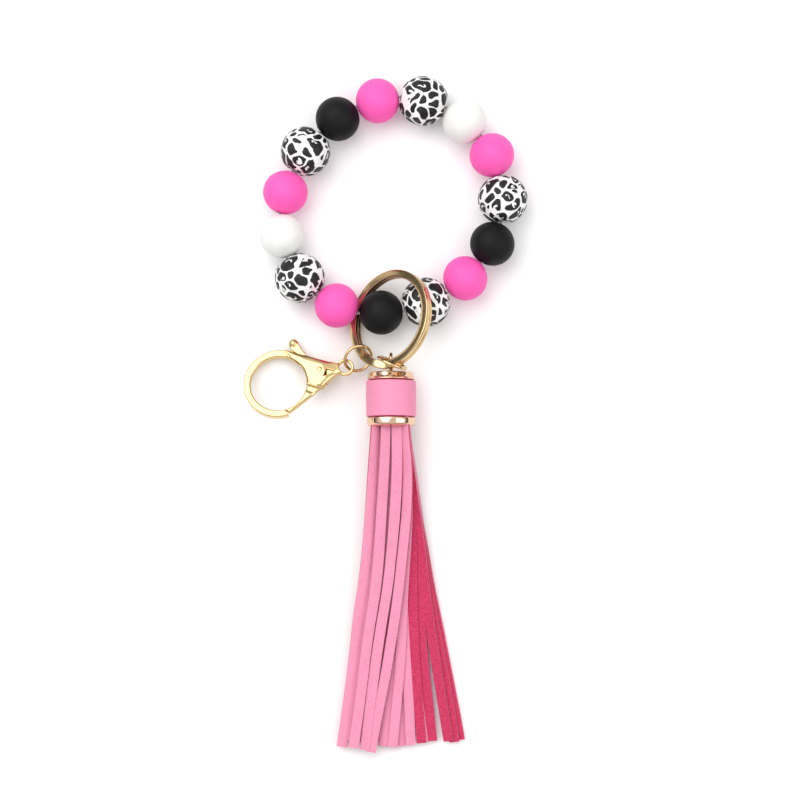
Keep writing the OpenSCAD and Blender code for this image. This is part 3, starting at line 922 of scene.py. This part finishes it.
ROWS = {
    "s1": [(428, 371.9, 381.2), (469, 368.4, 378.3), (512, 365.3, 374.8), (551, 362.2, 372.2), (585, 358.4, 368.6), (613, 353.5, 363.6), (647, 350.1, 359.8), (680, 346.2, 355.5), (714, 341.7, 351.4), (745.5, 336.9, 347)],
    "s2": [(428, 381.2, 390.6), (469, 379.6, 389.2), (512, 376.5, 386.6), (551, 374.2, 384.5), (585, 371, 381.6), (613, 366.9, 376.9), (647, 361.5, 371.5), (680, 357.9, 367.9), (714, 353.5, 363.5), (746.5, 348.5, 358.9)],
    "s3": [(428, 391.6, 401.6), (469, 392, 402.6), (512, 390, 400.6), (551, 386.8, 396.8), (585, 383.3, 393.2), (613, 378.6, 388.4), (647, 373, 383.2), (680, 368.8, 378.8), (714, 364.8, 374.2), (748.5, 360.8, 370.4)],
    "s4": [(428, 399.6, 408.2), (469, 403.6, 412.6), (512, 402.4, 411.8), (551, 398.2, 407.8), (585, 394.6, 404.2), (613, 390.8, 400.6), (647, 385.4, 395.2), (680, 379.9, 389.5), (714, 372.6, 382.6), (750.5, 366.3, 375.9)],
    "s5": [(428, 398, 407), (469, 402, 411.3), (512, 404, 413), (551, 401.5, 411), (585, 399, 408.6), (613, 397.6, 407.3), (647, 396.4, 406), (680, 394.3, 403.6), (714, 390.8, 400.4), (746, 387.9, 397.6)],
    "s6": [(428, 396, 405), (469, 400, 409), (512, 402, 411), (551, 401.5, 411), (585, 400.4, 410), (613, 400.2, 409.8), (647, 401, 410.6), (680, 402.8, 412.4), (714, 404.8, 414.4), (744, 405.6, 415.4)],
    "s7": [(428, 388, 397), (512, 388, 398), (585, 390, 399.6), (647, 388.8, 398.4), (680, 385.6, 395.4), (714, 381, 390.8), (745, 378.6, 388.4)],
    "s8": [(428, 392, 401), (512, 396, 405), (585, 397, 406), (647, 398, 407.6), (680, 397.4, 407), (714, 396.4, 406), (745, 395.6, 405)],
    "r1": [(428, 398.5, 407), (469, 404, 412.5), (512, 407.6, 416.2), (551, 407.8, 417), (585, 407.2, 416.8), (613, 408.2, 417.6), (647, 410, 419), (680, 412.3, 421.3), (714, 414.8, 423.8), (742, 416.8, 426.3)],
    "r2": [(428, 399.5, 407.5), (469, 406, 414), (512, 411, 418.8), (551, 414, 422.6), (585, 414.4, 423.6), (613, 415.4, 424.6), (647, 417.6, 427.2), (680, 421, 430.6), (714, 425, 434.6), (740, 427.2, 437)],
    "r3": [(428, 400, 407.8), (469, 406.5, 414.2), (512, 412.5, 420), (551, 417.5, 425.6), (585, 421, 429.4), (613, 424.2, 433), (647, 429, 438.2), (680, 434, 443.4), (714, 439.4, 448.8), (740, 443.6, 453)],
    "r4": [(428, 400.5, 408), (469, 407, 414.4), (512, 413.4, 420.8), (551, 419.5, 427.6), (585, 424, 432), (613, 428, 436.4), (647, 434.2, 443), (680, 440.4, 449.4), (714, 446.2, 455.4), (741, 449.6, 459)],
    "r5": [(428, 400.6, 408.1), (469, 407.2, 414.5), (512, 414, 421.2), (551, 421, 428.6), (585, 426.5, 434), (613, 432.2, 440.2), (647, 438.4, 447), (680, 444.6, 453.4), (714, 451, 460.2), (739, 455.2, 464.6)],
}
ZT = [(-6, 12.4), (0, 12.6), (12, 10.8), (24, 8.5), (45, 6.3), (75, 4.6), (112, 3.7)]


def zs(k, dz=0.0, flat=0.0):
    """Height line: k layers below the top one."""
    out = []
    for d, h in ZT:
        t = min(1, max(0, d / 100))
        sp = 2.0 * (1 - t) + 1.16 * t
        out.append((d, max(0.62, h - k * sp + dz)))
    return out


top = [
    ("s1", 0, "face", "fringe_left", [(-6, -34), (10, -26), (30, -10), (112, -3)], -1.0),
    ("s2", 0, "face", "fringe_left", [(-6, -10), (20, -6), (112, 0)], 0.1),
    ("s3", 0, "face", "fringe_middle", [(-6, 4), (50, 4), (80, 12), (112, 24)], 0.35),
    ("s4", 0, "face", "fringe_middle", [(-6, 40), (14, 30), (40, 16), (70, 4), (112, 0)], 0.6),
    ("s5", 1, "face", "fringe_middle", [(-6, 0), (112, 0)], 0.3),
    ("s6", 1, "face", "fringe_middle", [(-6, 0), (112, -4)], -0.6),
    # s7 lies in shade between s4 and s5; its sides and back use the shaded suede copy as painted shade
    ("s7", 1, "shade_edged", "fringe_middle", [(-6, 0), (112, 8)], -0.5),
    ("s8", 2, "face", "fringe_middle", [(-6, 0), (112, 0)], -0.2),
    ("r1", 1, "suede", "fringe_right", [(-6, 0), (112, 4)], -0.4),
    ("r2", 1, "suede", "fringe_right", [(-6, 6), (112, 6)], -0.9),
    ("r3", 1, "suede", "fringe_right", [(-6, 8), (50, 16), (112, 10)], -0.5),
    ("r4", 2, "suede", "fringe_right", [(-6, 8), (50, 18), (112, 14)], 0.1),
    ("r5", 2, "suede", "fringe_right", [(-6, 10), (50, 20), (112, 12)], -0.5),
]
for nm, lay, kind, bun, roll, dz in top:
    strip("strip_" + nm, stations(ROWS[nm]), zs(lay, dz), kind, roll=roll)


def under(nm, a, b, t, dx, lay, kind, dz=0.0, cut=0.0):
    A, B = ROWS[a], ROWS[b]
    rows = []
    for y in (428, 469, 512, 551, 585, 613, 647, 680, 714, 741 - cut):
        la = np.interp(y, [q[0] for q in A], [q[1] for q in A])
        lb = np.interp(y, [q[0] for q in B], [q[1] for q in B])
        c = la + (lb - la) * t + dx * (y - 428) / 313
        rows.append((y, c, c + 9.4))
    strip("strip_" + nm, stations(rows), zs(lay, dz), kind)


# strips underneath, seen in the gaps between the top strips; their sides carry the shaded suede copy as painted shade
under("u1", "s1", "s2", 0.45, 1.0, 1, "shade_edged", cut=2)
under("u2", "s2", "s3", 0.45, -1.0, 1, "shade_edged", -0.3, cut=0)
under("u3", "s1", "s2", 0.1, 2.0, 2, "shade_edged", cut=4)
under("u4", "s2", "s3", 0.0, 1.5, 2, "shade_edged", cut=3)
under("u5", "s3", "s5", 0.3, 0.0, 2, "shade_edged", cut=2)
under("u6", "s5", "s6", 0.6, 0.0, 3, "shade_edged", cut=4)
under("u7", "r1", "r2", 0.5, 0.0, 2, "shade_edged", cut=1)
under("u8", "r3", "r4", 0.5, 0.0, 3, "shade_edged", cut=3)
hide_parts("fringe_left")
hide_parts("fringe_middle")
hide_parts("fringe_right")

# rolled head inside the cap, seen only between the strips, in the shaded suede copy as painted shade
hd = lathe("look_fringe_header", [(0.0, 4.0), (6.1, 4.0), (6.2, 4.3), (6.2, 17.2), (5.6, 17.5), (5.2, 17.2), (4.7, 17.6), (4.2, 17.2), (3.6, 17.6), (3.0, 17.2), (2.4, 17.6), (1.7, 17.2), (0.9, 17.6), (0.0, 17.4)], O, AX, [SUEDE_SHADED], seg=64, closed=False)
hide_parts("fringe_header")
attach(hd, "tassel_cap")

# ---------------------------------------------------------------- floor, light, camera
m, nt, bs = new_mat("floor")
n1 = noise(nt, 3.0, 2.0)
r = ramp(nt, n1.outputs["Fac"], [(0.3, g(0.93)), (0.7, g(0.95))])
nt.links.new(r.outputs["Color"], bs.inputs["Base Color"])
bs.inputs["Roughness"].default_value = 0.9
bs.inputs["Specular IOR Level"].default_value = 0.1
me = bpy.data.meshes.new("floor")
me.from_pydata([(-4, -4, -0.0001), (4, -4, -0.0001), (4, 4, -0.0001), (-4, 4, -0.0001)], [], [(0, 1, 2, 3)])
floor = bpy.data.objects.new("floor", me)
me.materials.append(m)
bpy.context.scene.collection.objects.link(floor)


def area(name, loc, look, size, power, col=(1, 1, 1)):
    li = bpy.data.lights.new(name, "AREA")
    li.shape = "RECTANGLE"
    li.size, li.size_y = size
    li.energy = power
    li.color = col
    ob = bpy.data.objects.new(name, li)
    ob.location = loc
    ob.rotation_euler = (Vector(look) - Vector(loc)).to_track_quat("-Z", "Y").to_euler()
    bpy.context.scene.collection.objects.link(ob)
    return ob


area("key", (-0.45, 0.45, 0.95), (0, 0, 0), (1.15, 1.15), 8.5)
area("fill", (0.8, -0.1, 0.8), (0, 0, 0), (0.5, 0.9), 2.5)

w = bpy.data.worlds.new("world")
bpy.context.scene.world = w
w.use_nodes = True
wt = w.node_tree
tc = wt.nodes.new("ShaderNodeTexCoord")
sx = wt.nodes.new("ShaderNodeSeparateXYZ")
wt.links.new(tc.outputs["Generated"], sx.inputs["Vector"])
wr = ramp(wt, sx.outputs["Z"], [(0.0, g(0.05)), (0.12, g(0.10)), (0.34, g(0.6)), (0.62, g(1.0)), (0.86, g(0.92)), (1.0, g(0.80))])
bg = wt.nodes["Background"]
wt.links.new(wr.outputs["Color"], bg.inputs["Color"])
bg.inputs["Strength"].default_value = 1.0
bpy.context.scene.view_settings.view_transform = "Standard"
bpy.context.scene.view_settings.look = "None"

cam = bpy.data.cameras.new("camera")
camo = bpy.data.objects.new("camera", cam)
bpy.context.scene.collection.objects.link(camo)
bpy.context.scene.camera = camo
EL = math.radians(86)
DIST = 0.95
tgt = Vector((SH[0] * MM, SH[1] * MM - 0.0004, 0.006))
camo.location = tgt + Vector((0, -DIST * math.cos(EL), DIST * math.sin(EL)))
camo.rotation_euler = (tgt - camo.location).to_track_quat("-Z", "Y").to_euler()
cam.sensor_width = 36
cam.lens = 36 * DIST / (800 / PX * MM)
cam.clip_start = 0.01
cam.clip_end = 20

bpy.context.view_layer.update()
